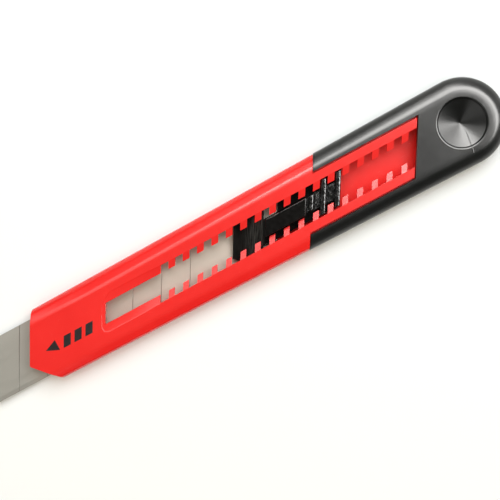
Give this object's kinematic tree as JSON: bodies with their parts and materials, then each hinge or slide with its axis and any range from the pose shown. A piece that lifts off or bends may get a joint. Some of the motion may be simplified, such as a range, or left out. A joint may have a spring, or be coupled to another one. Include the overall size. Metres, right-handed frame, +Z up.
{
  "type": "snap-off craft knife",
  "caption": "Slim snap-off craft knife with a scored steel blade in a toothed plastic sleeve, a press-to-slide ratchet slider and a forked end cap with a conical thumb dimple.",
  "frame": {"origin": "on the table under the middle of the knife's bounding box, the knife lying on its back", "axes": "+X along the knife from the blade's tip to the end cap, +Y from the cutting edge to the blade's spine, +Z up out of the toothed face"},
  "size_m": [0.1794, 0.0264, 0.0103],
  "materials": {
    "sleeve_red": "satin moulded plastic, bright red",
    "cap_black": "satin moulded plastic, charcoal black",
    "blade_steel": "rolled carbon steel with a ground edge",
    "slider_black": "smooth black moulded plastic",
    "spring_black": "blackened spring steel, glossy"
  },
  "bodies": {
    "handle": {"sleeve": "sleeve_red"},
    "cap": {"end_cap": "cap_black"},
    "carriage": {"blade": "blade_steel", "blade_carrier": "slider_black"},
    "lock": {"ratchet_spring": "spring_black", "thumb_pad": "slider_black"}
  },
  "joints": [
    {"name": "cap_pull", "type": "slide", "parent": "handle", "child": "cap", "axis": [1, 0, 0], "range_m": [0, 0.045]},
    {"name": "blade_slide", "type": "slide", "parent": "handle", "child": "carriage", "axis": [1, 0, 0], "range_m": [-0.05346, 0.0243], "deforming": ["ratchet_spring"]},
    {"name": "lock_press", "type": "hinge", "parent": "carriage", "child": "lock", "pos_m": [0.01292, 0, 0.0065], "axis": [0, 1, 0], "range_deg": [0, 3.5], "stiffness_Nm_per_rad": 1.2}
  ]
}
